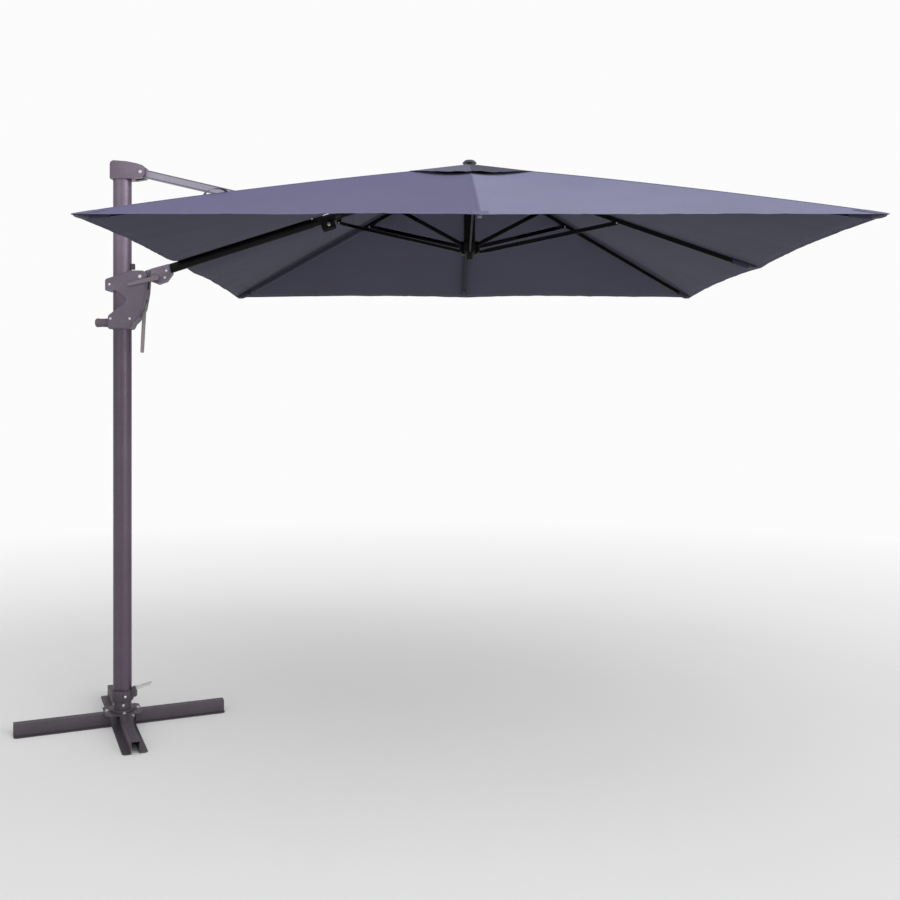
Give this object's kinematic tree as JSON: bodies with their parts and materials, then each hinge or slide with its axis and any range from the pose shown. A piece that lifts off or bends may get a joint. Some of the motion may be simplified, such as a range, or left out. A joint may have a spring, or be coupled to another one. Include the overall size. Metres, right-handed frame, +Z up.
{
  "type": "cantilever parasol",
  "caption": "Cantilever parasol: cross foot, turning mast, sliding carriage, strut-hung boom and a square fabric canopy with a vent flap on folding ribs.",
  "frame": {"origin": "on the floor at the mast's axis, under the middle of the cross foot", "axes": "+Z up along the mast, +X along the boom towards the canopy, +Y to the boom's left"},
  "size_m": [3.65, 2.9, 2.79],
  "materials": {
    "canopy_cloth": "matte",
    "foot_paint": "satin",
    "zinc": "satin",
    "mast_paint": "satin",
    "casting": "satin",
    "strut_paint": "satin",
    "plastic": "matte",
    "lever_grey": "satin",
    "hub_plastic": "satin",
    "bracket_steel": "satin",
    "black_aluminium": "satin"
  },
  "bodies": {
    "base": {"beam_right": "foot_paint", "beam_back": "foot_paint", "beam_left": "foot_paint", "beam_front": "foot_paint", "bottom_plate": "foot_paint", "top_plate": "foot_paint", "foot_bolt_1": "zinc", "foot_bolt_2": "zinc", "foot_bolt_3": "zinc", "foot_bolt_4": "zinc", "foot_socket": "foot_paint"},
    "mast": {"mast_tube": "mast_paint", "mast_collar": "foot_paint", "carriage_stop": "plastic", "head_cap": "mast_paint", "head_pin": "zinc"},
    "pedal": {"foot_pedal": "lever_grey"},
    "strut": {"strut_tube": "strut_paint", "strut_fork": "strut_paint"},
    "arm": {"knuckle": "casting", "arm_tube": "black_aluminium", "boom_bracket": "bracket_steel", "boom_pin": "zinc"},
    "tilt_lever": {"tilt_lever": "lever_grey"},
    "carriage": {"carriage": "casting", "upper_liner": "plastic", "lower_liner": "plastic", "grip": "plastic", "carriage_pin": "zinc"},
    "lock_lever": {"lock_lever": "lever_grey"},
    "boom": {"boom_tube": "black_aluminium", "boom_end": "bracket_steel", "link_collar": "bracket_steel", "canopy_left": "canopy_cloth"},
    "link": {"link": "black_aluminium"},
    "head": {"top_hub": "hub_plastic", "centre_post": "black_aluminium", "finial": "plastic"},
    "runner": {"runner": "hub_plastic"},
    "rib_right": {"rib_right": "black_aluminium", "canopy_right": "canopy_cloth"},
    "stay_right": {"stay_right": "black_aluminium"},
    "rib_back_right": {"rib_back_right": "black_aluminium", "canopy_back_right": "canopy_cloth"},
    "stay_back_right": {"stay_back_right": "black_aluminium"},
    "rib_back": {"rib_back": "black_aluminium", "canopy_back": "canopy_cloth"},
    "stay_back": {"stay_back": "black_aluminium"},
    "rib_back_left": {"rib_back_left": "black_aluminium", "canopy_back_left": "canopy_cloth"},
    "stay_back_left": {"stay_back_left": "black_aluminium"},
    "rib_front_left": {"rib_front_left": "black_aluminium", "canopy_front_left": "canopy_cloth"},
    "stay_front_left": {"stay_front_left": "black_aluminium"},
    "rib_front": {"rib_front": "black_aluminium", "canopy_front": "canopy_cloth"},
    "stay_front": {"stay_front": "black_aluminium"},
    "rib_front_right": {"rib_front_right": "black_aluminium", "canopy_front_right": "canopy_cloth"},
    "stay_front_right": {"stay_front_right": "black_aluminium"}
  },
  "joints": [
    {"name": "mast_swivel", "type": "hinge", "parent": "base", "child": "mast", "pos_m": [0, 0, 0.1185], "axis": [0, 0, 1], "continuous": true},
    {"name": "pedal_press", "type": "hinge", "parent": "mast", "child": "pedal", "pos_m": [0.064, 0, 0.169], "axis": [0, 1, 0], "range_deg": [0, 12], "stiffness_Nm_per_rad": 1.2, "springref_deg": -6.88},
    {"name": "arm_fold", "type": "hinge", "parent": "mast", "child": "strut", "pos_m": [0.0999, 0, 2.727], "axis": [0, 1, 0], "range_deg": [0, 59], "deforming": ["canopy_back", "canopy_back_left", "canopy_back_right", "canopy_front", "canopy_front_left", "canopy_front_right", "canopy_left", "canopy_right"]},
    {"name": "boom_hinge", "type": "hinge", "parent": "strut", "child": "arm", "pos_m": [1.0298, 0, 2.46835], "axis": [0, 1, 0], "range_deg": [-119, 1]},
    {"name": "tilt_lever_hinge", "type": "hinge", "parent": "arm", "child": "tilt_lever", "pos_m": [0.184, -0.049, 2.202], "axis": [0, 1, 0], "range_deg": [0, 25]},
    {"name": "carriage_hinge", "type": "hinge", "parent": "arm", "child": "carriage", "pos_m": [0.0999, 0, 2.2097], "axis": [0, 1, 0], "range_deg": [-1, 60]},
    {"name": "lock_lever_hinge", "type": "hinge", "parent": "carriage", "child": "lock_lever", "pos_m": [0.11, 0, 2.0735], "axis": [0, 1, 0], "range_deg": [-20, 5]},
    {"name": "side_tilt", "type": "hinge", "parent": "arm", "child": "boom", "pos_m": [0.8052, 0, 2.43363], "axis": [0.9531, 0, 0.3026], "range_deg": [-12, 12]},
    {"name": "head_hinge", "type": "hinge", "parent": "boom", "child": "head", "pos_m": [1.7, 0, 2.66], "axis": [0, 1, 0], "range_deg": [-1, 60]},
    {"name": "link_hinge", "type": "hinge", "parent": "boom", "child": "link", "pos_m": [1.0754, 0, 2.4816], "axis": [0, 1, 0], "range_deg": [-1, 122]},
    {"name": "rib_right_hinge", "type": "hinge", "parent": "head", "child": "rib_right", "pos_m": [1.785, 0, 2.724], "axis": [0, 1, 0], "range_deg": [-1, 50]},
    {"name": "stay_right_hinge", "type": "hinge", "parent": "rib_right", "child": "stay_right", "pos_m": [2.4555, 0, 2.4806], "axis": [0, 1, 0], "range_deg": [-106, 1]},
    {"name": "rib_back_right_hinge", "type": "hinge", "parent": "head", "child": "rib_back_right", "pos_m": [1.76743, 0.04243, 2.7307], "axis": [-0.7071, 0.7071, 0], "range_deg": [-1, 51]},
    {"name": "stay_back_right_hinge", "type": "hinge", "parent": "rib_back_right", "child": "stay_back_right", "pos_m": [2.25392, 0.52892, 2.5533], "axis": [-0.7071, 0.7071, 0], "range_deg": [-99, 1]},
    {"name": "rib_back_hinge", "type": "hinge", "parent": "head", "child": "rib_back", "pos_m": [1.725, 0.06, 2.724], "axis": [-1, 0, 0], "range_deg": [-1, 50]},
    {"name": "stay_back_hinge", "type": "hinge", "parent": "rib_back", "child": "stay_back", "pos_m": [1.725, 0.7305, 2.4806], "axis": [-1, 0, 0], "range_deg": [-106, 1]},
    {"name": "rib_back_left_hinge", "type": "hinge", "parent": "head", "child": "rib_back_left", "pos_m": [1.68257, 0.04243, 2.7307], "axis": [-0.7071, -0.7071, 0], "range_deg": [-1, 51]},
    {"name": "stay_back_left_hinge", "type": "hinge", "parent": "rib_back_left", "child": "stay_back_left", "pos_m": [1.19608, 0.52892, 2.5533], "axis": [-0.7071, -0.7071, 0], "range_deg": [-99, 1]},
    {"name": "rib_front_left_hinge", "type": "hinge", "parent": "head", "child": "rib_front_left", "pos_m": [1.68257, -0.04243, 2.7307], "axis": [0.7071, -0.7071, 0], "range_deg": [-1, 51]},
    {"name": "stay_front_left_hinge", "type": "hinge", "parent": "rib_front_left", "child": "stay_front_left", "pos_m": [1.19608, -0.52892, 2.5533], "axis": [0.7071, -0.7071, 0], "range_deg": [-99, 1]},
    {"name": "rib_front_hinge", "type": "hinge", "parent": "head", "child": "rib_front", "pos_m": [1.725, -0.06, 2.724], "axis": [1, 0, 0], "range_deg": [-1, 50]},
    {"name": "stay_front_hinge", "type": "hinge", "parent": "rib_front", "child": "stay_front", "pos_m": [1.725, -0.7305, 2.4806], "axis": [1, 0, 0], "range_deg": [-106, 1]},
    {"name": "rib_front_right_hinge", "type": "hinge", "parent": "head", "child": "rib_front_right", "pos_m": [1.76743, -0.04243, 2.7307], "axis": [0.7071, 0.7071, 0], "range_deg": [-1, 51]},
    {"name": "stay_front_right_hinge", "type": "hinge", "parent": "rib_front_right", "child": "stay_front_right", "pos_m": [2.25392, -0.52892, 2.5533], "axis": [0.7071, 0.7071, 0], "range_deg": [-99, 1]},
    {"name": "runner_hinge", "type": "hinge", "parent": "stay_back_right", "child": "runner", "pos_m": [1.75823, 0.03323, 2.365], "axis": [-0.7071, 0.7071, 0], "range_deg": [-1, 50]}
  ],
  "couplings": [
    {"joint": "boom_hinge", "follows": "arm_fold", "ratio": -2},
    {"joint": "carriage_hinge", "follows": "arm_fold", "ratio": 1},
    {"joint": "head_hinge", "follows": "arm_fold", "ratio": 1},
    {"joint": "link_hinge", "follows": "arm_fold", "ratio": 2.043},
    {"joint": "rib_right_hinge", "follows": "arm_fold", "ratio": 0.82982},
    {"joint": "stay_right_hinge", "follows": "arm_fold", "ratio": -1.7667},
    {"joint": "rib_back_right_hinge", "follows": "arm_fold", "ratio": 0.83823},
    {"joint": "stay_back_right_hinge", "follows": "arm_fold", "ratio": -1.6574},
    {"joint": "rib_back_hinge", "follows": "arm_fold", "ratio": 0.82982},
    {"joint": "stay_back_hinge", "follows": "arm_fold", "ratio": -1.7667},
    {"joint": "rib_back_left_hinge", "follows": "arm_fold", "ratio": 0.83823},
    {"joint": "stay_back_left_hinge", "follows": "arm_fold", "ratio": -1.6574},
    {"joint": "rib_front_left_hinge", "follows": "arm_fold", "ratio": 0.83823},
    {"joint": "stay_front_left_hinge", "follows": "arm_fold", "ratio": -1.6574},
    {"joint": "rib_front_hinge", "follows": "arm_fold", "ratio": 0.82982},
    {"joint": "stay_front_hinge", "follows": "arm_fold", "ratio": -1.7667},
    {"joint": "rib_front_right_hinge", "follows": "arm_fold", "ratio": 0.83823},
    {"joint": "stay_front_right_hinge", "follows": "arm_fold", "ratio": -1.6574},
    {"joint": "runner_hinge", "follows": "arm_fold", "ratio": 0.81912}
  ]
}
